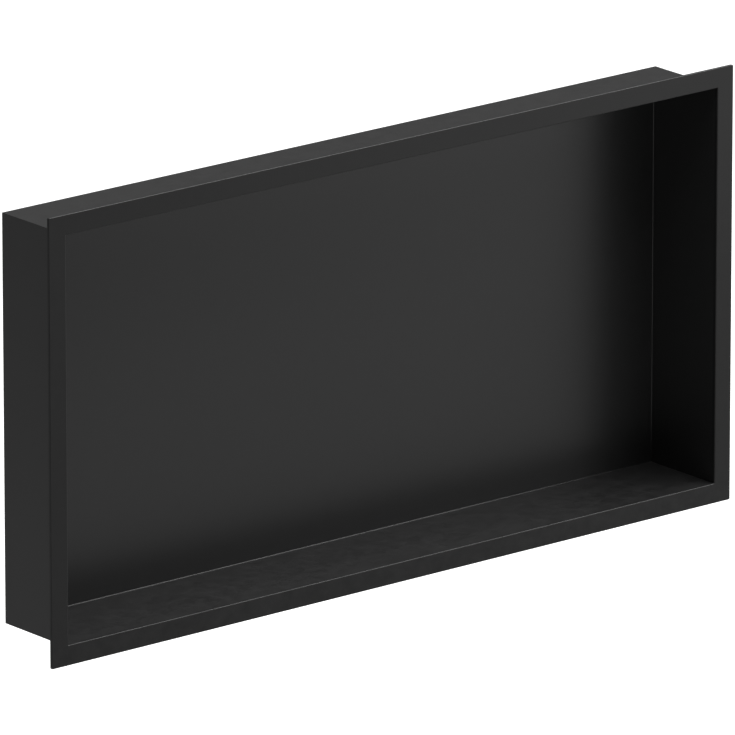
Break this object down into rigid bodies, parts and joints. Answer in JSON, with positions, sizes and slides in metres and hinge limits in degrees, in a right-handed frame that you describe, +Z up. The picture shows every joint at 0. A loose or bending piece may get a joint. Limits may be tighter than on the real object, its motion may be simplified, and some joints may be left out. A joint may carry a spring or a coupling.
{
  "type": "recessed shower niche",
  "caption": "Shallow open-fronted tray of satin black sheet metal with a flat flange round its mouth, set into a shower wall to hold bottles.",
  "frame": {"origin": "middle of the flange's rear face, in the plane of the finished wall", "axes": "+Z up, +X to the right seen from the room, +Y into the wall, so the open front faces -Y"},
  "size_m": [0.63, 0.072, 0.33],
  "materials": {
    "coated_steel": "satin black coating on stainless sheet, with a faint fine grain"
  },
  "bodies": {
    "root": {"niche_body": "coated_steel"}
  },
  "joints": []
}
